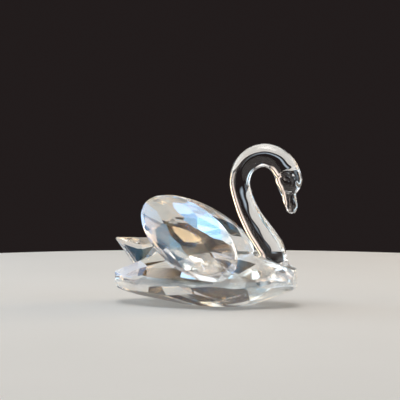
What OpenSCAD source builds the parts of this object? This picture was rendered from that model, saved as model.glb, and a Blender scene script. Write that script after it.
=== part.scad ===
// Crystal glass swan figurine: five pieces of clear glass, joined by four thin films of adhesive.
// Millimetres, +Z up. The origin is the middle of the flat base's plane and +X points to the head.

/* [Body] */
// Length of the body over its two cut ends
body_len = 56.4; // [46:0.2:70]
// Width of the body across its girdle
body_w = 30; // [24:0.2:38]
// Height of the body, from the base to the flat on its back
body_h = 16; // [13:0.2:20]
// Width of the flat at each end of the body
end_w = 8; // [6:0.2:10]
// Height of the lower edge of the girdle
girdle_z = 6.6; // [5:0.1:8]
// Height of the girdle band
girdle_h = 2.3; // [1.6:0.1:3]
// Distance from the middle to the front edge of the flat base
base_front = 14.5; // [10:0.5:18]
// Distance from the middle to the rear edge of the flat base
base_rear = 6; // [4:0.5:12]
// Width of the flat base
base_w = 12; // [8:0.5:16]
// Slope of the front and rear faces that carry the neck and the tail, in degrees
saddle_slope = 22; // [18:0.5:28]
// Height of the front face, where it meets the body's front end
neck_saddle_z = 11.2; // [10:0.1:12]
// Height of the rear face, where it meets the body's rear end
tail_saddle_z = 9.9; // [9.5:0.1:11]
// Height of the lower edge of the body's front end
bow_z = 5.4; // [4.5:0.1:6]
// Height of the lower edge of the body's rear end
stern_z = 4.4; // [3.5:0.1:5.5]
// Slope of the two side faces that carry the wings, in degrees
flank_slope = 48; // [40:1:56]
// How far forward those side faces are turned round the girdle, in degrees
flank_turn = 4; // [0:1:8]

/* [Wings] */
// Length of a wing stone
wing_len = 38.8; // [32:0.2:48]
// Width of a wing stone
wing_w = 19.4; // [15:0.2:24]
// Thickness of a wing stone, flat to flat
wing_t = 7.4; // [6:0.2:10]
// Thickness of a wing's rim
wing_rim = 1.3; // [0.8:0.1:2]
// How much fuller the front half of a wing is than its rear half
wing_egg = 0.08; // [0:0.01:0.2]
// Roundness of a wing's front end: 2 is an ellipse, less is more pointed
wing_nose = 2.0; // [1.6:0.05:2.2]
// Roundness of a wing's rear end: 2 is an ellipse, more is squarer
wing_tip = 2.1; // [1.8:0.05:2.4]
// Size of the flat on the outer side of a wing, as a share of the whole outline
wing_table = 0.38; // [0.2:0.02:0.5]
// Angle at which a wing dips towards the front, in degrees
wing_pitch = 34.5; // [26:0.5:42]
// Angle at which a wing leans inwards, in degrees
wing_lean = 23.4; // [18:1:30]
// Angle at which the front of a wing spreads outwards, in degrees
wing_splay = 9; // [0:1:12]
// How far ahead of the middle of its side face a wing's lowest point rests
wing_fore = 2.2; // [0:0.2:5]
// How far the lowest point of a wing's rim hangs below the edge of its side face
wing_drop = 0.6; // [0:0.1:1.2]
// Least distance between the two wings
wing_gap = 0.5; // [0.3:0.1:2]

/* [Tail] */
// Length of the tail along its top edge
tail_len = 17.5; // [14:0.5:22]
// Thickness of the tail
tail_t = 6; // [4:0.2:8]
// Thickness of the tail's rim
tail_rim = 1; // [0.6:0.1:1.6]
// Height of the tail above the rear end of its joint
tail_rise = 8.4; // [6:0.2:11]
// How much is ground off the tail's rear corner
tail_blunt = 0.6; // [0.2:0.1:1.2]
// Angle of the tail's rear edge, in degrees from level
tail_rake = 53; // [45:1:62]
// Distance from the body's rear end to the tail's joint
tail_inset = 5; // [4:0.2:7]
// Length of the tail's joint, along the body
tail_joint = 6.6; // [5:0.2:9]

/* [Neck and head] */
// Distance from the body's front end to the middle of the neck's foot
foot_inset = 6.6; // [6:0.1:8]
// Depth of the neck just above its foot, front to back
foot_d = 8.6; // [7:0.1:10.4]
// Width of the neck just above its foot
foot_w = 7.6; // [6.2:0.1:9.2]
// Angle at which the neck leaves its foot, in degrees from level
foot_rise = 106; // [98:1:114]
// Thickness of the neck at its slimmest
neck_d = 6.2; // [5:0.1:7.5]
// Thickness of the neck at the top of its bend
nape_d = 7; // [6:0.1:7.8]
// Height of the middle of the bend above the flat on the body's back
bend_rise = 22.2; // [18:0.2:26]
// How far the middle of the bend lies behind the middle of the foot
bend_back = 2.8; // [0:0.2:5]
// Radius of the bend, to the middle of the neck
bend_r = 7.8; // [7.4:0.1:10]
// Depth of the head at the brow
brow_d = 7.8; // [6.8:0.1:8.6]
// Depth of the beak at its root
beak_d = 3.9; // [3:0.1:5]
// Length from the brow to the tip of the beak
head_len = 10.1; // [8:0.1:12]
// How far the tip of the beak reaches ahead of the brow
beak_reach = 0.7; // [0:0.1:2]

/* [Joints] */
// Thickness of each adhesive film
film_t = 0.12; // [0.06:0.02:0.3]
// How far each film stays back from the edge of its joint
film_margin = 0.5; // [0.2:0.1:1]

/* [Hidden] */

glass = [0.86, 0.90, 0.92];
adhesive = [0.93, 0.93, 0.86];
big = 200;                                 // side of a grinding block, larger than any piece

girdle_top = girdle_z + girdle_h;
half_len = body_len / 2;
half_w = body_w / 2;
sag = half_w - end_w / 2;                  // depth of each of the two arcs of the girdle
girdle_r = (half_len * half_len + sag * sag) / (2 * sag);

// Distance from the middle of the body to its girdle, square to a face turned by off degrees
// from straight sideways
function girdle_reach(off) = girdle_r - (girdle_r - half_w) * cos(off);

// The same distance for the flat base, taken as an ellipse
base_mid = (base_front - base_rear) / 2;
function base_reach(az) =
    base_mid * cos(az) + norm([(base_front + base_rear) / 2 * cos(az), base_w / 2 * sin(az)]);

// A wing's outline in its own plane: an oval whose front half is fuller but more pointed.
// t is the angle round the outline, with 0 at the front and 90 at the upper side.
rim_step = 4;                              // degrees between two points of the outline
function bulge(c, power) = sign(c) * pow(abs(c), 2 / power);
function rim(t) = let(power = cos(t) > 0 ? wing_nose : wing_tip, along = bulge(cos(t), power))
    [wing_len / 2 * along, wing_w / 2 * bulge(sin(t), power) * (1 + wing_egg * along)];
function rim_az(t) = let(step = rim(t + 1) - rim(t - 1)) atan2(-step.x, step.y);
function rim_reach(t) = max([for (u = [0 : rim_step : 359]) rim(u) * [cos(rim_az(t)), sin(rim_az(t))]]);

// The faces on each side of a wing: how far in and up the short ones along the rim reach, how far
// above the rim the long ones start, and where the small ones round the flat start and how steep
// they are, as shares of the flat's size and of a long face's slope
nip_run = 3.2;
nip_rise = 1.9;
main_start = 0.3;
star_start = 0.86;
star_slope = 0.66;

// Turning a wing from its own plane into place, as a list of its two axes there
long_axis = [cos(wing_pitch) * cos(wing_splay) - sin(wing_pitch) * sin(wing_lean) * sin(wing_splay),
             -cos(wing_pitch) * sin(wing_splay) - sin(wing_pitch) * sin(wing_lean) * cos(wing_splay),
             -sin(wing_pitch) * cos(wing_lean)];
short_axis = [sin(wing_pitch) * cos(wing_splay) + cos(wing_pitch) * sin(wing_lean) * sin(wing_splay),
              -sin(wing_pitch) * sin(wing_splay) + cos(wing_pitch) * sin(wing_lean) * cos(wing_splay),
              cos(wing_pitch) * cos(wing_lean)];

// The lowest point of the wing's rim rests just over the edge of the body's side face
function in_place(p) = p.x * long_axis + p.y * short_axis;
rim_points = [for (t = [0 : rim_step : 359]) in_place(rim(t))];
rim_low = min([for (p = rim_points) p.z]);
low_point = [for (p = rim_points) if (p.z == rim_low) p][0];
flank_edge = [girdle_r * sin(flank_turn), girdle_r - half_w - girdle_r * cos(flank_turn), girdle_top];
wing_mid = flank_edge + [wing_fore, -wing_drop / 2, -wing_drop] - low_point;

// The tail's four corners, in the plane of symmetry
tail_x = -half_len + tail_inset;
tail_z = tail_saddle_z + tail_inset * tan(saddle_slope);
tail_top = tail_z + tail_rise;
tip_x = tail_x - tail_rise / tan(tail_rake);
tail_corners = [[tail_x, tail_z], [tail_x + tail_joint, tail_z + tail_joint * tan(saddle_slope)],
                [tip_x + tail_len, tail_top], [tip_x, tail_top]];
tail_mid = (tail_corners[0] + tail_corners[1] + tail_corners[2] + tail_corners[3]) / 4;

// The middle line of the neck and head, in the plane of symmetry. q runs from 0 at the foot to 1
// where the bend starts, 2 at the brow and 3 at the tip of the beak.
foot_x = half_len - foot_inset;
foot = [foot_x, neck_saddle_z + foot_inset * tan(saddle_slope)];
foot_half = foot_d / 2 / sin(foot_rise + saddle_slope);    // half the length of the foot's joint
bend_mid = [foot_x - bend_back, body_h + bend_rise];
bend_start = bend_mid - [bend_r, 0];
brow = bend_mid + [bend_r, 0];
neck_rise = bend_start.y - foot.y;
foot_pull = foot + 0.31 * neck_rise * [cos(foot_rise), sin(foot_rise)];
bend_pull = bend_start - [0, 0.42 * neck_rise];

function curve(q) = pow(1 - q, 3) * foot + 3 * q * pow(1 - q, 2) * foot_pull
    + 3 * q * q * (1 - q) * bend_pull + pow(q, 3) * bend_start;
function spine(q) = q < 1 ? curve(q)
    : q < 2 ? bend_mid + bend_r * [cos(180 * (2 - q)), sin(180 * (2 - q))]
    : brow + (q - 2) * [beak_reach, -head_len];
function heading(q) = let(step = spine(q + 0.01) - spine(q - 0.01)) atan2(step.y, step.x);

// Depth and width of the neck and head along that line
depths = [[-1, foot_d + 1], [0, foot_d], [0.35, foot_d * 0.94], [0.75, neck_d], [1, neck_d],
          [1.5, nape_d], [1.8, nape_d], [2, brow_d], [2.2, brow_d * 0.94], [2.42, beak_d * 1.12],
          [2.6, beak_d], [2.8, beak_d * 0.86], [2.93, beak_d * 0.56], [3, beak_d * 0.16]];
widths = [[-1, foot_w + 1], [0, foot_w], [0.35, foot_w * 0.95], [0.75, neck_d], [1, neck_d],
          [1.5, nape_d * 0.94], [2, brow_d * 0.88], [2.2, brow_d * 0.85], [2.42, beak_d * 1.24],
          [2.6, beak_d * 1.16], [2.8, beak_d], [2.93, beak_d * 0.66], [3, beak_d * 0.2]];

// The adhesive on each side face: an oval between the face's lower edge and its top, or the top of
// the flat on the wing
flank_rise = (body_h - girdle_top) / sin(flank_slope);
bond_low = 1.6;
bond_high = min(7.2, flank_rise - film_margin);
bond_half = 5.5;

// Length of the rear face under the tail's joint
tail_seat = min(tail_joint, (body_h - tail_saddle_z) / tan(saddle_slope) - tail_inset);

// The short faces under the girdle: how far in and down they reach
under_girdle = 2.4;

// The shallow part of the rise at the rear end of the hull: its length and its height in front
stern_len = 6;
stern_low = 2.3;

// The slanted faces of the tail: how far in from the edge the steep and the flat ones reach, and the
// height where they meet, as a share of its thickness; and how far down the broad one reaches
tail_steep = 1.5;
tail_flat = 6;
tail_meet = 0.3;
tail_broad = 4;

// ---- grinding ----

// A block to take away: it leaves a flat face that looks along azimuth az, and passes r0 from the
// axis at height z0 and r1 from the axis at height z1
module grind(az, r0, z0, r1, z1) {
    elevation = (z1 > z0) ? atan2(r0 - r1, z1 - z0) : -atan2(r0 - r1, z0 - z1);
    rotate([0, 0, az]) translate([r0, 0, z0]) rotate([0, -elevation, 0])
        translate([0, -big / 2, -big / 2]) cube(big);
}

// Everything under the front face (side 1) or the rear face (side -1) of the body, raised by lift
module under_saddle(side, lift) {
    on_saddle(side, half_len) translate([-big / 2, -big / 2, lift - big]) cube(big);
}

// Moves a shape onto the front or rear face of the body, at a distance x from the body's middle
module on_saddle(side, x) {
    end_z = side > 0 ? neck_saddle_z : tail_saddle_z;
    translate([side * x, 0, end_z + (half_len - x) * tan(saddle_slope)])
        rotate([0, side * saddle_slope, 0]) children();
}

// Moves a shape onto the side face under the right wing, at the edge of the girdle
module on_flank() {
    translate(flank_edge) rotate([0, 0, flank_turn]) rotate([flank_slope, 0, 0]) children();
}

// Everything under that side face, raised by lift
module under_flank(lift) {
    on_flank() translate([-big / 2, -big / 2, lift - big]) cube(big);
}

// An oval film of adhesive, of the given half length and half width
module film(half_length, half_width) {
    linear_extrude(height = film_t)
        polygon([for (v = [0 : 10 : 350]) [half_length * cos(v), half_width * sin(v)]]);
}

// ---- pieces ----

module body() {
    color(glass) difference() {
        intersection() {
            girdle_arc(1);
            girdle_arc(-1);
            translate([-half_len, -big / 2, 0]) cube([body_len, big, body_h]);
        }
        for (side = [0, 1]) mirror([0, side, 0]) {
            crown_facets();
            pavilion_facets();
        }
        end_facets();
    }
}

// One of the two round walls of the girdle
module girdle_arc(side) {
    translate([0, side * (girdle_r - half_w), 0]) cylinder(h = body_h, r = girdle_r, $fn = 192);
}

// How far out a face turned to az has to stay, so that the neck's foot stands on the body
foot_ledge = 0.6;
function foot_reach(az) =
    foot_x * cos(az) + norm([foot_half * cos(az), foot_w / 2 * sin(az)]) + foot_ledge;

// Upper faces of the right side: steep ones up from the girdle, and flatter ones between them.
// Each is the angle it is turned round the girdle by, and how far above the girdle it starts.
module crown_facets() {
    flank_run = (body_h - girdle_top) / tan(flank_slope);
    for (face = [[-33, 0], [-15, 0], [flank_turn, 0], [-24, 1.5], [-7, 2.8], [15, 2.8]]) {
        reach = girdle_reach(face[0]);
        run = flank_run * (face[1] > 0 ? 1.4 : 1);
        grind(-90 + face[0], reach, girdle_top + face[1], reach - run, body_h + face[1] / 2);
    }
    for (face = [[22, 0], [37, 0], [29, 2.6]])
        grind(-90 + face[0], girdle_reach(face[0]), girdle_top + face[1], foot_reach(-90 + face[0]), foot.y);
}

// Lower faces of the right side: short steep ones under the girdle, and long ones down to the base
module pavilion_facets() {
    for (off = [-36, -21, -7, 7]) {
        reach = girdle_reach(off);
        grind(-90 + off, reach, girdle_z + 0.2, reach - under_girdle, girdle_z - under_girdle);
    }
    for (face = [[-29, 1.5], [-3, 1], [27, 0]]) {
        reach = girdle_reach(face[0]);
        grind(-90 + face[0], reach, girdle_z - face[1], base_reach(-90 + face[0]), 0);
    }
}

// Faces across the two ends: the saddles above, and the rise of the hull below
module end_facets() {
    saddle_run = (body_h - neck_saddle_z) / tan(saddle_slope);
    grind(0, half_len, neck_saddle_z, half_len - saddle_run, body_h);
    stern_run = (body_h - tail_saddle_z) / tan(saddle_slope);
    grind(180, half_len, tail_saddle_z, half_len - stern_run, body_h);
    grind(0, half_len, bow_z, base_front, 0);
    grind(180, half_len, stern_z, half_len - stern_len, stern_low);
    grind(180, half_len - stern_len, stern_low, base_rear, 0);
}

// A wing stone in its own plane, its outer side up
module wing_stone() {
    difference() {
        linear_extrude(height = wing_t, center = true) polygon([for (t = [0 : rim_step : 359]) rim(t)]);
        for (side = [0, 1]) mirror([0, 0, side]) wing_facets(side);
    }
}

// The faces on one side of a wing stone: two short ones, a long one and a small one to each eighth
module wing_facets(side) {
    for (i = [0 : 15]) {
        t = (i + 0.5) * 22.5;
        reach = rim_reach(t);
        grind(rim_az(t), reach, wing_rim / 2, reach - nip_run, wing_rim / 2 + nip_rise);
    }
    flat = (side == 0 ? wing_table : wing_table / 2) / 2;
    main_low = wing_rim / 2 + main_start;
    for (i = [0 : 7], star = [0, 1]) {
        t = i * 45 + (1 - side + star) * 22.5;
        az = rim_az(t);
        flat_reach = norm(flat * [wing_len * cos(az), wing_w * sin(az)]);
        run = rim_reach(t) - flat_reach;
        if (star == 0)
            grind(az, rim_reach(t), main_low, flat_reach, wing_t / 2);
        else
            grind(az, flat_reach * star_start + run, wing_t / 2 - star_slope * (wing_t / 2 - main_low),
                  flat_reach * star_start, wing_t / 2);
    }
}

module right_wing_shape() {
    difference() {
        translate(wing_mid) rotate([0, 0, -wing_splay]) rotate([-wing_lean, 0, 0])
            rotate([0, wing_pitch, 0]) rotate([90, 0, 0]) wing_stone();
        under_flank(film_t);
        translate([-big / 2, -wing_gap / 2, 0]) cube(big);
    }
}

module right_wing() {
    color(glass) right_wing_shape();
}

module left_wing() {
    color(glass) mirror([0, 1, 0]) right_wing_shape();
}

// The tail, a flat stone ground to a thin rim along its three free edges
module tail() {
    color(glass) difference() {
        translate([tail_mid.x, 0, tail_mid.y]) rotate([90, 0, 0]) difference() {
            linear_extrude(height = tail_t, center = true)
                polygon([for (corner = tail_corners) corner - tail_mid]);
            for (side = [0, 1]) mirror([0, 0, side]) tail_facets();
        }
        under_saddle(-1, film_t);
    }
}

// The faces on one side of the tail: a broad one from the top edge and two from each slanted edge
module tail_facets() {
    front_edge = tail_corners[2] - tail_corners[1];
    front_az = atan2(-front_edge.x, front_edge.y);
    rear_az = 270 - tail_rake;
    top = tail_top - tail_mid.y;
    grind(90, top, tail_rim / 2, top - tail_broad, tail_t / 2);
    tip_az = (90 + rear_az) / 2;
    tip = (tail_corners[3] - tail_mid) * [cos(tip_az), sin(tip_az)] - tail_blunt;
    grind(tip_az, tip, 0, tip, 1);
    for (face = [[rear_az, tail_corners[3]], [front_az, tail_corners[1]]]) {
        reach = (face[1] - tail_mid) * [cos(face[0]), sin(face[0])];
        grind(face[0], reach, tail_rim / 2, reach - tail_steep, tail_t * tail_meet);
        grind(face[0], reach - tail_steep, tail_t * tail_meet, reach - tail_flat, tail_t / 2);
    }
}

// A closed tube along the neck's middle line, with an oval section
module neck_tube() {
    sides = 24;
    stops = concat([-0.25], [for (i = [0 : 12]) i / 13], [for (i = [0 : 15]) 1 + i / 16],
                   [for (i = [0 : 14]) 2 + sin(90 * i / 15)], [3]);
    points = [for (q = stops) let(
        at = q < 0 ? foot + q * 4 * (foot_pull - foot) : spine(q),
        turn = q < 0.01 ? foot_rise : heading(min(q, 2.98)),
        a = lookup(q, depths) / 2,
        b = lookup(q, widths) / 2)
        for (i = [0 : sides - 1]) let(v = 360 * i / sides)
            [at.x + a * cos(v) * sin(turn), b * sin(v), at.y - a * cos(v) * cos(turn)]];
    last = (len(stops) - 1) * sides;
    faces = concat(
        [[for (i = [0 : sides - 1]) i]],
        [for (k = [0 : len(stops) - 2]) for (i = [0 : sides - 1]) let(j = (i + 1) % sides)
            [k * sides + i, (k + 1) * sides + i, (k + 1) * sides + j, k * sides + j]],
        [[for (i = [sides - 1 : -1 : 0]) last + i]]);
    polyhedron(points, faces, convexity = 6);
}

module neck_and_head() {
    color(glass) difference() {
        neck_tube();
        under_saddle(1, film_t);
    }
}

module wing_bond() {
    color(adhesive) on_flank() translate([wing_fore / 2, (bond_low + bond_high) / 2, 0])
        film(bond_half - film_margin, (bond_high - bond_low) / 2);
}

module right_wing_bond() {
    wing_bond();
}

module left_wing_bond() {
    mirror([0, 1, 0]) wing_bond();
}

module tail_bond() {
    color(adhesive) on_saddle(-1, half_len - tail_inset - tail_seat / 2)
        film(tail_seat / cos(saddle_slope) / 2 - film_margin, tail_t * 0.4 - film_margin);
}

module neck_bond() {
    color(adhesive) on_saddle(1, foot_x) film(foot_half - film_margin, foot_w / 2 - film_margin);
}

body();
left_wing();
right_wing();
tail();
neck_and_head();
left_wing_bond();
right_wing_bond();
tail_bond();
neck_bond();
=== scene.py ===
import math

import bmesh
import bpy
import numpy as np
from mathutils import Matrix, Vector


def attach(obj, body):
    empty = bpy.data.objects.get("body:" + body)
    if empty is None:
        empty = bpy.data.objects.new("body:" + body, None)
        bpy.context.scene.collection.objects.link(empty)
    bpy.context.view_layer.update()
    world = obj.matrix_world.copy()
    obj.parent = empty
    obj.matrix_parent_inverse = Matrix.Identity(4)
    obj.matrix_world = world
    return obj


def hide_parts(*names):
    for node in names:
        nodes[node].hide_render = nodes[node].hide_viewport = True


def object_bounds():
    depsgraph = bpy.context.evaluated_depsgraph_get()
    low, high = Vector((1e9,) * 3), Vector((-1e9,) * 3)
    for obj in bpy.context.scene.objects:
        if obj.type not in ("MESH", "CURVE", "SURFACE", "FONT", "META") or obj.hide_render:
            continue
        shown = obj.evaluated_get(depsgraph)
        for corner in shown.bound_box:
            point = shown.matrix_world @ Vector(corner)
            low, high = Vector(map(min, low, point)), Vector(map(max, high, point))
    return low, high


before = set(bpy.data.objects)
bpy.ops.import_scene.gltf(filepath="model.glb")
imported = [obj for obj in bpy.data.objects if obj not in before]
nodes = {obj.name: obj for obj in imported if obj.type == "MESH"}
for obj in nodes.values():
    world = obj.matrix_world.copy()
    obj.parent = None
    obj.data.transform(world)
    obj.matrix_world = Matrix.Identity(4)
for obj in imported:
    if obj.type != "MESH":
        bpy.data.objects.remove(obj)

# Crystal glass swan: five pieces of clear glass held by four thin films of adhesive.
# Metres, +Z up, +X to the head. The near wing, on the camera's side, is right_wing.
cadBox = [list(corner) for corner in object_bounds()]
mm = 0.001
weldDistance = 0.0002 * mm     # points nearer than this are one point
print("frame loaded:", len(nodes), "nodes")


cameraLook = {
    "turn": 14.0,        # degrees round from straight side-on, towards the head
    "distance": 310 * mm,
    "height": 38.4 * mm,
    "lens": 90.0,
    "panLeft": 0.30,     # degrees off the object's axis
    "tiltDown": 1.146,   # degrees below level
}


def makeCamera(look):
    # stands on a circle round the object's axis and looks back at it, a little down
    turn = math.radians(look["turn"])
    data = bpy.data.cameras.new("camera")
    data.lens = look["lens"]
    data.sensor_width = 36.0
    data.clip_start = 0.01
    data.clip_end = 20.0
    camera = bpy.data.objects.new("camera", data)
    camera.location = (
        look["distance"] * math.sin(turn), -look["distance"] * math.cos(turn), look["height"])
    camera.rotation_euler = (
        math.radians(90 - look["tiltDown"]), 0.0, turn + math.radians(look["panLeft"]))
    bpy.context.scene.collection.objects.link(camera)
    bpy.context.scene.camera = camera
    return camera


makeCamera(cameraLook)
print("camera placed")


def gridFaces(rows, columns):
    # quads of a grid of rows x columns points, with the last column joined to the first
    row = np.arange(rows - 1)[:, None]
    column = np.arange(columns)[None, :]
    following = (column + 1) % columns
    quads = np.stack([
        row * columns + column, row * columns + following,
        (row + 1) * columns + following, (row + 1) * columns + column], axis=-1)
    return quads.reshape(-1, 4)


def closedSkin(name, rings, firstPole, lastPole):
    # rings (k, n, 3) joined into a skin, with a fan to a pole at each end
    count, around = rings.shape[:2]
    points = np.vstack([rings.reshape(-1, 3), firstPole[None, :], lastPole[None, :]])
    quads = gridFaces(count, around).tolist()
    step = np.arange(around)
    following = (step + 1) % around
    lastRing = (count - 1) * around
    lowPole = np.full(around, count * around)
    lowFan = np.stack([following, step, lowPole], axis=-1).tolist()
    highFan = np.stack([lastRing + step, lastRing + following, lowPole + 1], axis=-1).tolist()
    mesh = bpy.data.meshes.new(name)
    mesh.from_pydata(points.tolist(), [], quads + lowFan + highFan)
    mesh.update()
    return mesh


def faceOutwards(mesh):
    # merges doubles and turns every face to look outwards
    shape = bmesh.new()
    shape.from_mesh(mesh)
    bmesh.ops.remove_doubles(shape, verts=shape.verts, dist=weldDistance)
    bmesh.ops.recalc_face_normals(shape, faces=shape.faces)
    shape.to_mesh(mesh)
    shape.free()


def smoothShade(mesh):
    mesh.polygons.foreach_set("use_smooth", np.ones(len(mesh.polygons), bool))


def addPiece(name, mesh, node, material):
    # puts a finished mesh in the scene in place of one CAD node
    piece = bpy.data.objects.new(name, mesh)
    bpy.context.scene.collection.objects.link(piece)
    mesh.materials.clear()
    mesh.materials.append(material)
    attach(piece, "root")
    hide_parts(node)
    return piece


def nodePoints(node):
    mesh = nodes[node].data
    points = np.empty(len(mesh.vertices) * 3, np.float32)
    mesh.vertices.foreach_get("co", points)
    return points.reshape(-1, 3).astype(float)


def newTree(material):
    material.use_nodes = True
    tree = material.node_tree
    tree.nodes.clear()
    return tree


def addNode(tree, kind, settings=None, **values):
    node = tree.nodes.new(kind)
    for key, value in (settings or {}).items():
        setattr(node, key, value)
    for key, value in values.items():
        node.inputs[key.replace("_", " ")].default_value = value
    return node


def math2(tree, operation, first, second):
    # one Math node; each side is a socket or a number
    node = tree.nodes.new("ShaderNodeMath")
    node.operation = operation
    for slot, side in enumerate((first, second)):
        if isinstance(side, (int, float)):
            node.inputs[slot].default_value = side
        else:
            tree.links.new(side, node.inputs[slot])
    return node.outputs[0]


def newGroup(name, inputs, outputs):
    # inputs: name -> default number; outputs: name -> socket type
    group = bpy.data.node_groups.new(name, "ShaderNodeTree")
    for label, value in inputs.items():
        socket = group.interface.new_socket(name=label, in_out="INPUT", socket_type="NodeSocketFloat")
        socket.default_value = value
    for label, kind in outputs.items():
        group.interface.new_socket(name=label, in_out="OUTPUT", socket_type=kind)
    start = group.nodes.new("NodeGroupInput")
    end = group.nodes.new("NodeGroupOutput")
    return group, start, end


def noiseValue(tree, coordinates, scaleSocket, detail, roughness=0.55):
    noise = addNode(tree, "ShaderNodeTexNoise", Detail=detail, Roughness=roughness)
    tree.links.new(coordinates, noise.inputs["Vector"])
    tree.links.new(scaleSocket, noise.inputs["Scale"])
    return noise.outputs["Fac"]


polishPattern = {
    "waveDetail": 2.0,
    "lineDetail": 4.0,
    "lineRoughness": 0.7,
    "lineStretch": (1.0, 0.35, 4.0),     # hairlines run long across the wheel's direction
    "lineTurn": (0.4, 0.9, 0.2),
    "wanderPower": 3.0,                  # how rarely the roughness nears its upper value
}

dustPattern = {
    "detail": 1.0,
    "roughness": 0.4,
    "peakStart": 0.66,
    "peakFull": 0.74,
    "slopeStart": 0.1,     # upward part of the normal where dust starts to lie, and lies fully
    "slopeFull": 0.9,
}


def polishGroup(pattern):
    # lap marks left by polishing: broad soft waves and fine hairlines for the bump, and a roughness
    # that wanders between two values
    group, start, end = newGroup(
        "polish marks",
        {"Wave scale": 90.0, "Line scale": 900.0, "Line share": 0.25, "Low roughness": 0.0,
         "High roughness": 0.03},
        {"Height": "NodeSocketFloat", "Roughness": "NodeSocketFloat"})
    where = addNode(group, "ShaderNodeTexCoord").outputs["Object"]
    waves = noiseValue(group, where, start.outputs["Wave scale"], pattern["waveDetail"])
    stretch = addNode(
        group, "ShaderNodeMapping", Scale=pattern["lineStretch"], Rotation=pattern["lineTurn"])
    group.links.new(where, stretch.inputs["Vector"])
    lines = noiseValue(
        group, stretch.outputs["Vector"], start.outputs["Line scale"], pattern["lineDetail"],
        pattern["lineRoughness"])
    scaled = math2(group, "MULTIPLY", lines, start.outputs["Line share"])
    group.links.new(math2(group, "ADD", waves, scaled), end.inputs["Height"])
    spread = math2(group, "SUBTRACT", start.outputs["High roughness"], start.outputs["Low roughness"])
    wander = math2(group, "POWER", waves, pattern["wanderPower"])
    rough = math2(group, "ADD", math2(group, "MULTIPLY", wander, spread), start.outputs["Low roughness"])
    group.links.new(rough, end.inputs["Roughness"])
    return group


def dustGroup(pattern):
    # fine specks that settle on what looks up: a mask of noise peaks times the upward slope
    group, start, end = newGroup(
        "settled dust",
        {"Speck scale": 1500.0, "Amount": 0.5},
        {"Mask": "NodeSocketFloat"})
    where = addNode(group, "ShaderNodeTexCoord").outputs["Object"]
    specks = noiseValue(group, where, start.outputs["Speck scale"], pattern["detail"],
                        pattern["roughness"])
    peaks = addNode(group, "ShaderNodeMapRange", {"interpolation_type": "SMOOTHSTEP"},
                    From_Min=pattern["peakStart"], From_Max=pattern["peakFull"])
    group.links.new(specks, peaks.inputs["Value"])
    facing = addNode(group, "ShaderNodeSeparateXYZ")
    group.links.new(addNode(group, "ShaderNodeNewGeometry").outputs["Normal"], facing.inputs[0])
    upward = addNode(
        group, "ShaderNodeMapRange", From_Min=pattern["slopeStart"], From_Max=pattern["slopeFull"])
    group.links.new(facing.outputs["Z"], upward.inputs["Value"])
    both = math2(group, "MULTIPLY", peaks.outputs[0], upward.outputs[0])
    group.links.new(math2(group, "MULTIPLY", both, start.outputs["Amount"]), end.inputs["Mask"])
    return group


polishMarks = polishGroup(polishPattern)
settledDust = dustGroup(dustPattern)
print("shader groups built")


cutCrystalLook = {
    "tint": (0.985, 0.992, 0.995),
    "dustTint": (0.80, 0.80, 0.78),
    "ior": 1.56,
    "coating": 180.0,          # nanometres of the clear coating that tints the facets
    "coatingIor": 1.9,
    "waveScale": 60.0,
    "lineScale": 900.0,
    "lowRoughness": 0.06,
    "highRoughness": 0.12,
    "bump": 0.02,
    "dust": 0.35,
}

mouldedGlassLook = {
    "tint": (0.985, 0.990, 0.992),
    "dustTint": (0.80, 0.80, 0.78),
    "ior": 1.53,
    "coating": 0.0,
    "coatingIor": 1.33,
    "waveScale": 220.0,
    "lineScale": 700.0,
    "lowRoughness": 0.0,
    "highRoughness": 0.04,
    "bump": 0.10,
    "dust": 0.35,
}

adhesiveLook = {
    "tint": (0.97, 0.965, 0.93),
    "dustTint": (0.93, 0.91, 0.86),
    "ior": 1.50,
    "coating": 0.0,
    "coatingIor": 1.33,
    "waveScale": 500.0,
    "lineScale": 1600.0,
    "lowRoughness": 0.01,
    "highRoughness": 0.18,
    "bump": 0.08,
    "dust": 0.5,
}


glassSurface = {
    "dustRoughness": 0.35,     # roughness that a speck of dust adds
    "bumpDepth": 0.2 * mm,
}


def glassMaterial(name, look):
    # clear glass: polish marks in roughness and bump, dust specks in colour and roughness
    material = bpy.data.materials.new(name)
    tree = newTree(material)
    shader = addNode(tree, "ShaderNodeBsdfPrincipled", IOR=look["ior"], Metallic=0.0)
    shader.inputs["Transmission Weight"].default_value = 1.0
    shader.inputs["Thin Film Thickness"].default_value = look["coating"]
    shader.inputs["Thin Film IOR"].default_value = look["coatingIor"]
    output = addNode(tree, "ShaderNodeOutputMaterial")
    tree.links.new(shader.outputs[0], output.inputs["Surface"])

    polish = tree.nodes.new("ShaderNodeGroup")
    polish.node_tree = polishMarks
    polish.inputs["Wave scale"].default_value = look["waveScale"]
    polish.inputs["Line scale"].default_value = look["lineScale"]
    polish.inputs["Low roughness"].default_value = look["lowRoughness"]
    polish.inputs["High roughness"].default_value = look["highRoughness"]
    dust = tree.nodes.new("ShaderNodeGroup")
    dust.node_tree = settledDust
    dust.inputs["Amount"].default_value = look["dust"]

    colour = addNode(tree, "ShaderNodeMix", {"data_type": "RGBA"})
    colour.inputs[6].default_value = (*look["tint"], 1.0)
    colour.inputs[7].default_value = (*look["dustTint"], 1.0)
    tree.links.new(dust.outputs["Mask"], colour.inputs[0])
    tree.links.new(colour.outputs[2], shader.inputs["Base Color"])
    specks = math2(tree, "MULTIPLY", dust.outputs["Mask"], glassSurface["dustRoughness"])
    rough = math2(tree, "ADD", polish.outputs["Roughness"], specks)
    tree.links.new(rough, shader.inputs["Roughness"])
    bump = addNode(
        tree, "ShaderNodeBump", Strength=look["bump"], Distance=glassSurface["bumpDepth"])
    tree.links.new(polish.outputs["Height"], bump.inputs["Height"])
    tree.links.new(bump.outputs["Normal"], shader.inputs["Normal"])
    return material


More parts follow.
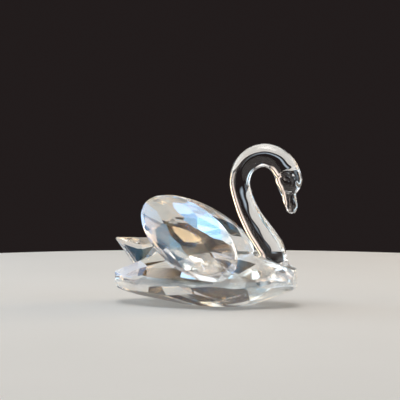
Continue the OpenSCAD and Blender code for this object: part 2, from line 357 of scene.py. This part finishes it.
cutCrystal = glassMaterial("cut_crystal", cutCrystalLook)
mouldedGlass = glassMaterial("moulded_glass", mouldedGlassLook)
clearAdhesive = glassMaterial("clear_adhesive", adhesiveLook)
print("glass ready")


stoneLook = {
    "edgeBreak": 0.04 * mm,    # how far each ground edge is polished back
    "edgeAngle": 5.0,          # degrees between two faces that make an edge
    "flatness": 0.4,           # degrees within which triangles belong to one facet
    "broad": 0.16 * mm,        # narrower faces than this are broken edges, not strips of a wall
    "weld": 0.001 * mm,        # corners nearer than this are one corner
}


def breadth(face):
    # a face's area over its longest edge
    return face.calc_area() / max(edge.calc_length() for edge in face.edges)


def cutStone(node, look):
    # the CAD facets, joined into whole flat faces, with every edge between them broken; only the
    # strips of a round wall, which meet at less than an edge's angle, are shaded smooth
    mesh = nodes[node].data.copy()
    mesh.name = node + "_glass"
    shape = bmesh.new()
    shape.from_mesh(mesh)
    bmesh.ops.remove_doubles(shape, verts=shape.verts, dist=look["weld"])
    bmesh.ops.dissolve_limit(
        shape, angle_limit=math.radians(look["flatness"]), verts=shape.verts, edges=shape.edges)
    edgeAngle = math.radians(look["edgeAngle"])
    sharp = [edge for edge in shape.edges if edge.calc_face_angle(0.0) > edgeAngle]
    bmesh.ops.bevel(
        shape, geom=sharp, offset=look["edgeBreak"], offset_type="WIDTH", segments=2, profile=0.5,
        affect="EDGES", clamp_overlap=True)
    for face in shape.faces:
        face.smooth = False
    for edge in shape.edges:
        broad = min(breadth(face) for face in edge.link_faces) > look["broad"]
        if broad and edge.calc_face_angle(0.0) < edgeAngle:
            for face in edge.link_faces:
                face.smooth = True
    shape.to_mesh(mesh)
    shape.free()
    if "custom_normal" in mesh.attributes:
        mesh.attributes.remove(mesh.attributes["custom_normal"])
    return addPiece(node + "_glass", mesh, node, cutCrystal)


for stoneNode in ("body", "left_wing", "right_wing", "tail"):
    cutStone(stoneNode, stoneLook)
print("cut stones made")


filmLook = {
    "around": 96,
    "across": 14,
    "bite": 0.012 * mm,     # how far a film wets into the glass on each side
    "ripple": 0.035,        # unevenness of its edge, as a share of its radius
    "edgeRound": 0.10,      # share of the radius over which the film thins to its edge
    "flatRing": 0.5,        # where on the flat, as a share of the radius, a ring of points lies
}


def filmFrame(node):
    # middle, long axis, short axis, upward normal and half sizes of a flat CAD film
    points = nodePoints(node)
    low = points.min(0)
    middle = (low + points.max(0)) / 2
    axes = np.linalg.svd(points - points.mean(0), full_matrices=False)[2]
    normal = axes[2] * np.sign(axes[2][2])
    longAxis = axes[0] * np.sign(axes[0][0])
    shortAxis = np.cross(normal, longAxis)
    local = (points - middle) @ np.stack([longAxis, shortAxis, normal]).T
    centre = (local.max(0) + local.min(0)) / 2
    middle = middle + centre @ np.stack([longAxis, shortAxis, normal])
    half = (local.max(0) - local.min(0)) / 2
    return middle, longAxis, shortAxis, normal, half


def adhesiveFilm(node, look, phase):
    # an oval drop pressed flat: the oval's radius times 1 plus two sine ripples, and a thickness
    # that falls to nothing along a quarter circle at the edge
    middle, longAxis, shortAxis, normal, half = filmFrame(node)
    turn = np.linspace(0, 2 * np.pi, look["around"], endpoint=False)[None, :]
    quarter = np.linspace(0, np.pi / 2, look["across"])
    radius = np.concatenate([[look["flatRing"]], 1 - look["edgeRound"] * (1 - np.sin(quarter))])
    height = np.concatenate([[1.0], np.cos(quarter)])
    radius = np.concatenate([radius, radius[:-1][::-1]])[:, None]
    height = np.concatenate([height, -height[:-1][::-1]])[:, None]
    edge = 1 + look["ripple"] * (np.sin(3 * turn + phase) + 0.6 * np.sin(7 * turn + 2 * phase)) / 1.6
    edge = edge - look["ripple"]
    thick = half[2] + look["bite"]
    rings = (middle + (radius * edge * np.cos(turn) * half[0])[..., None] * longAxis
             + (radius * edge * np.sin(turn) * half[1])[..., None] * shortAxis
             + (height * thick * np.ones_like(turn))[..., None] * normal)
    mesh = closedSkin(node + "_film", rings, middle + normal * thick, middle - normal * thick)
    faceOutwards(mesh)
    smoothShade(mesh)
    return addPiece(node + "_film", mesh, node, clearAdhesive)


for phase, filmNode in enumerate(("left_wing_bond", "right_wing_bond", "tail_bond", "neck_bond")):
    adhesiveFilm(filmNode, filmLook, 0.7 + 1.9 * phase)
print("films made")


neckLook = {
    # middle line in the plane of symmetry, from the foot over the bend to the tip of the beak:
    # x, z, depth of the inner side, depth of the outer side, half width; all in millimetres
    "stations": [
        (21.6, 13.8, 4.35, 4.25, 3.8),
        (20.7, 17.3, 4.15, 4.15, 3.75),
        (19.0, 20.0, 4.05, 4.0, 3.7),
        (16.7, 23.4, 3.85, 3.85, 3.6),
        (14.3, 27.4, 3.4, 3.4, 3.35),
        (12.7, 31.0, 3.15, 3.15, 3.15),
        (11.5, 34.6, 3.05, 3.05, 3.05),
        (11.0, 38.2, 3.1, 3.1, 3.05),
        (12.05, 42.1, 3.3, 3.25, 3.15),
        (14.9, 44.95, 3.45, 3.45, 3.25),
        (18.7, 46.0, 3.6, 3.5, 3.35),
        (22.5, 44.7, 3.8, 3.65, 3.45),
        (25.1, 41.7, 4.1, 3.85, 3.5),
        (26.3, 38.4, 4.1, 3.9, 3.4),
        (26.6, 36.3, 3.75, 3.25, 3.0),
        (26.7, 34.8, 3.2, 2.1, 2.5),
        (26.75, 33.9, 2.85, 1.5, 2.3),
        (26.8, 32.4, 2.45, 1.8, 2.15),
        (26.95, 30.6, 1.8, 1.8, 2.05),
        (27.05, 29.3, 1.4, 1.45, 1.75),
        (27.1, 28.55, 1.05, 1.05, 1.25),
    ],
    "tip": (27.1, 28.15),
    "rings": 300,
    "around": 96,
    "footRings": 12,           # rings near the foot that may fall below its joint
    "footClear": 0.15,         # least height of the first free ring over the joint
}

# the relief of the head, in millimetres
headLook = {
    "eye": (25.9, 39.0),
    "eyeRadius": 0.75,
    "eyeRise": 0.34,
    "socketRadius": 1.55,
    "socketDepth": 0.42,
    "browRadius": 1.75,
    "browRise": 0.30,
    "browWidth": 0.42,
    "browTilt": 0.45,          # the brow lies above a line through the eye with this slope
    "browStart": 0.4,
    "loreDepth": 0.28,         # the crease from the eye to the beak
    "loreAhead": 1.35,
    "loreSlope": 0.10,
    "loreWidth": 0.3,
    "loreBelow": 1.2,
    "loreLength": 1.6,
    "mouthDepth": 0.16,
    "mouthWidth": 0.22,
    "mouthCorner": (26.35, 34.5),
    "mouthSlope": 0.09,
    "beakTop": 34.6,
    "beakFade": 4.0,           # how sharply the mouth line starts, per millimetre
    "seamRise": 0.035,
    "seamWidth": 0.05,
    "waver": 0.025,
    "sideSpread": 1.25,        # how far round towards the middle the relief reaches
    "sidePower": 0.8,
}


def smoothRow(rows, at):
    # a cubic through the rows of a table: between two rows, a Hermite curve whose slopes are half
    # the difference of the rows on each side
    count = len(rows)
    k = np.clip(np.floor(at).astype(int), 0, count - 2)
    t = (at - k)[:, None]
    before = rows[np.maximum(k - 1, 0)]
    first, second = rows[k], rows[k + 1]
    after = rows[np.minimum(k + 2, count - 1)]
    slopeA, slopeB = (second - before) / 2, (after - first) / 2
    return ((2 * t**3 - 3 * t**2 + 1) * first + (t**3 - 2 * t**2 + t) * slopeA
            + (3 * t**2 - 2 * t**3) * second + (t**3 - t**2) * slopeB)


def bell(distance, width):
    # 1 at no distance, falling as e to the minus (distance over width) squared
    return np.exp(-(distance / width) ** 2)


def headRelief(look, x, z, turn):
    # millimetres to add along the radius: a domed eye in a hollow, a brow over it, a crease to the
    # beak, the line of the mouth, a seam along the middle and a slight waver of the hot glass, which
    # is a sum of slow sines of height, length and the angle round the section
    spread = look["sideSpread"]
    side = np.clip(np.abs(np.sin(turn)) * spread + 1 - spread, 0, 1) ** look["sidePower"]
    eyeX, eyeZ = look["eye"]
    far = np.hypot(x - eyeX, z - eyeZ)
    relief = -look["socketDepth"] * bell(far, look["socketRadius"]) * side
    dome = np.sqrt(np.clip(1 - (far / look["eyeRadius"]) ** 2, 0, 1))
    relief = relief + look["eyeRise"] * dome * side
    above = np.clip(z - eyeZ + look["browTilt"] * (x - eyeX) + look["browStart"], 0, 1)
    brow = bell(far - look["browRadius"], look["browWidth"])
    relief = relief + look["browRise"] * brow * above * side
    creaseX = eyeX + look["loreAhead"] + look["loreSlope"] * (eyeZ - z)
    crease = bell(x - creaseX, look["loreWidth"])
    crease = crease * bell(z - eyeZ + look["loreBelow"], look["loreLength"])
    relief = relief - look["loreDepth"] * crease * side
    cornerX, cornerZ = look["mouthCorner"]
    mouthX = cornerX + look["mouthSlope"] * (cornerZ - z)
    inBeak = 1 / (1 + np.exp((z - look["beakTop"]) * look["beakFade"]))
    mouth = bell(x - mouthX, look["mouthWidth"]) * inBeak
    relief = relief - look["mouthDepth"] * mouth * side
    relief = relief + look["seamRise"] * bell(np.sin(turn), look["seamWidth"])
    waver = np.sin(z * 0.9 + 2.0 * turn) + 0.7 * np.sin(x * 1.3 - turn + 1.0) * np.sin(z * 0.47)
    return relief + look["waver"] * waver


def neckAndHead(look, head):
    # an oval section with its own inner and outer depth, carried along the middle line
    rows = np.array(look["stations"])
    at = np.linspace(0, len(rows) - 1, look["rings"])
    line = smoothRow(rows, at)
    step = np.gradient(line[:, :2], axis=0)
    step = step / np.linalg.norm(step, axis=1)[:, None]
    inward = np.stack([step[:, 1], -step[:, 0]], axis=1)     # to the hollow side of the bend
    turn = np.linspace(0, 2 * np.pi, look["around"], endpoint=False)[None, :]
    depth = np.where(np.cos(turn) > 0, line[:, 2:3], line[:, 3:4])
    across = depth * np.cos(turn)
    wide = line[:, 4:5] * np.sin(turn)
    x = line[:, 0:1] + across * inward[:, 0:1]
    z = line[:, 1:2] + across * inward[:, 1:2]
    relief = headRelief(head, x, z, turn)
    grown = 1 + relief / np.hypot(across, wide)
    x = line[:, 0:1] + across * grown * inward[:, 0:1]
    z = line[:, 1:2] + across * grown * inward[:, 1:2]
    rings = np.stack([x, wide * grown, z], axis=-1) * mm

    # the foot: the first ring slides down its own direction to the plane of its joint
    middle, _, _, normal, half = filmFrame("neck_bond")
    seat = middle + normal * half[2]
    down = -np.array([step[0, 0], 0.0, step[0, 1]])
    slide = ((seat - rings[0]) @ normal) / (down @ normal)
    foot = rings[0] + slide[:, None] * down
    rings = np.concatenate([foot[None], rings[1:]])
    keep = np.ones(len(rings), bool)
    nearFoot = slice(1, look["footRings"])
    keep[nearFoot] = ((rings[nearFoot] - seat) @ normal).min(1) > look["footClear"] * mm
    rings = rings[keep]
    tip = np.array([look["tip"][0], 0.0, look["tip"][1]]) * mm
    mesh = closedSkin("neck_and_head_glass", rings, foot.mean(0), tip)
    faceOutwards(mesh)
    smoothShade(mesh)
    return addPiece("neck_and_head_glass", mesh, "neck_and_head", mouldedGlass)


neckAndHead(neckLook, headLook)
print("neck and head made")


floorLook = {
    "radius": 240 * mm,
    "rim": 2 * mm,
    "pale": (0.74, 0.73, 0.71),
    "paler": (0.80, 0.79, 0.77),
    "roughness": 0.6,
    "gloss": 0.2,
    "cloudScale": 14.0,
    "cloudDetail": 3.0,
    "around": 128,
}


def floorMaterial(look):
    # plain pale matt board with a faint cloudiness in its colour
    material = bpy.data.materials.new("pale_floor")
    tree = newTree(material)
    shader = addNode(tree, "ShaderNodeBsdfPrincipled", Roughness=look["roughness"])
    shader.inputs["Specular IOR Level"].default_value = look["gloss"]
    output = addNode(tree, "ShaderNodeOutputMaterial")
    tree.links.new(shader.outputs[0], output.inputs["Surface"])
    where = addNode(tree, "ShaderNodeTexCoord")
    cloud = addNode(
        tree, "ShaderNodeTexNoise", Scale=look["cloudScale"], Detail=look["cloudDetail"])
    tree.links.new(where.outputs["Object"], cloud.inputs["Vector"])
    colour = addNode(tree, "ShaderNodeMix", {"data_type": "RGBA"})
    colour.inputs[6].default_value = (*look["pale"], 1.0)
    colour.inputs[7].default_value = (*look["paler"], 1.0)
    tree.links.new(cloud.outputs["Fac"], colour.inputs[0])
    tree.links.new(colour.outputs[2], shader.inputs["Base Color"])
    return material


def makeFloor(look):
    # a round board whose top is the plane the object rests on
    turn = np.linspace(0, 2 * np.pi, look["around"], endpoint=False)
    ring = np.stack([np.cos(turn), np.sin(turn), np.zeros_like(turn)], axis=1) * look["radius"]
    rings = np.stack([ring, ring - (0, 0, look["rim"])])
    mesh = closedSkin("floor", rings, np.zeros(3), np.array([0, 0, -look["rim"]]))
    faceOutwards(mesh)
    mesh.materials.append(floorMaterial(look))
    board = bpy.data.objects.new("floor", mesh)
    bpy.context.scene.collection.objects.link(board)


makeFloor(floorLook)

# each softbox: turn round the object in degrees from the front, height angle, distance, width and
# height of its face, brightness at its middle and colour
softboxes = {
    "warmNear": (158, 16, 0.60, 0.16, 0.46, 1.30, (1.00, 0.82, 0.72)),
    "warmFar": (122, 16, 0.60, 0.44, 0.56, 5.20, (1.00, 0.78, 0.54)),
    "coolNear": (-132, 16, 0.60, 0.14, 0.42, 1.60, (0.70, 0.88, 1.00)),
    "coolFar": (-97, 16, 0.60, 0.44, 0.56, 5.00, (0.78, 0.90, 1.00)),
    "highRear": (-166, 58, 0.60, 0.54, 0.32, 2.40, (1.00, 0.96, 0.92)),
    "coolFront": (78, 18, 0.60, 0.38, 0.38, 3.80, (0.68, 0.85, 1.00)),
    "frontLeft": (-58, 14, 0.60, 0.40, 0.46, 2.60, (1.00, 0.93, 0.84)),
    "lowRear": (-169, -1.5, 0.38, 0.11, 0.03, 0.60, (0.72, 0.86, 1.00)),
    "top": (-10, 80, 0.60, 0.38, 0.38, 9.00, (1.00, 0.98, 0.95)),
}

# brightness at the middle and the edge of a softbox's face, and the share of its side between them
boxFalloff = {"middle": 1.0, "edge": 0.25, "reach": 0.55}


def hotMiddle(data, falloff):
    # the light falls from the middle of the face to its edge with the distance between them
    data.use_nodes = True
    tree = data.node_tree
    emission = tree.nodes["Emission"]
    face = addNode(tree, "ShaderNodeNewGeometry")
    offset = addNode(tree, "ShaderNodeVectorMath", {"operation": "DISTANCE"})
    offset.inputs[1].default_value = (0.5, 0.5, 0.0)
    tree.links.new(face.outputs["Parametric"], offset.inputs[0])
    fade = addNode(tree, "ShaderNodeMapRange", {"interpolation_type": "SMOOTHSTEP"}, From_Min=0.0,
                   From_Max=falloff["reach"], To_Min=falloff["middle"], To_Max=falloff["edge"])
    tree.links.new(offset.outputs["Value"], fade.inputs["Value"])
    tree.links.new(fade.outputs[0], emission.inputs["Strength"])


def addSoftbox(name, turn, height, distance, wide, tall, glow, colour, aim):
    # a rectangular light that looks at the object; its power, before the fall from its middle to its
    # edge, is pi times glow times area
    data = bpy.data.lights.new(name, "AREA")
    data.shape = "RECTANGLE"
    data.size = wide
    data.size_y = tall
    data.energy = math.pi * glow * wide * tall
    data.color = colour
    hotMiddle(data, boxFalloff)
    lamp = bpy.data.objects.new(name, data)
    a, e = math.radians(turn), math.radians(height)
    back = np.array([math.sin(a) * math.cos(e), -math.cos(a) * math.cos(e), math.sin(e)])
    lamp.location = aim + back * distance
    lamp.rotation_euler = (math.radians(90 - height), 0.0, a)
    lamp.visible_camera = False
    bpy.context.scene.collection.objects.link(lamp)


low, high = (np.array(corner) for corner in cadBox)
for boxName, settings in softboxes.items():
    addSoftbox(boxName, *settings, aim=(low + high) / 2)


roomLook = {
    "colour": (0.016, 0.012, 0.012, 1.0),
    "brightness": 1.0,
    "bounces": 24,             # light crosses many faces inside cut glass
    "glossyBounces": 16,
}


def makeRoom(look):
    # a dim plain room, and enough bounces for the glass in it
    world = bpy.data.worlds.new("room")
    world.use_nodes = True
    background = world.node_tree.nodes["Background"]
    background.inputs["Color"].default_value = look["colour"]
    background.inputs["Strength"].default_value = look["brightness"]
    scene = bpy.context.scene
    scene.world = world
    scene.view_settings.view_transform = "Standard"
    scene.cycles.max_bounces = look["bounces"]
    scene.cycles.transmission_bounces = look["bounces"]
    scene.cycles.glossy_bounces = look["glossyBounces"]


makeRoom(roomLook)
print("floor, lights and room ready")
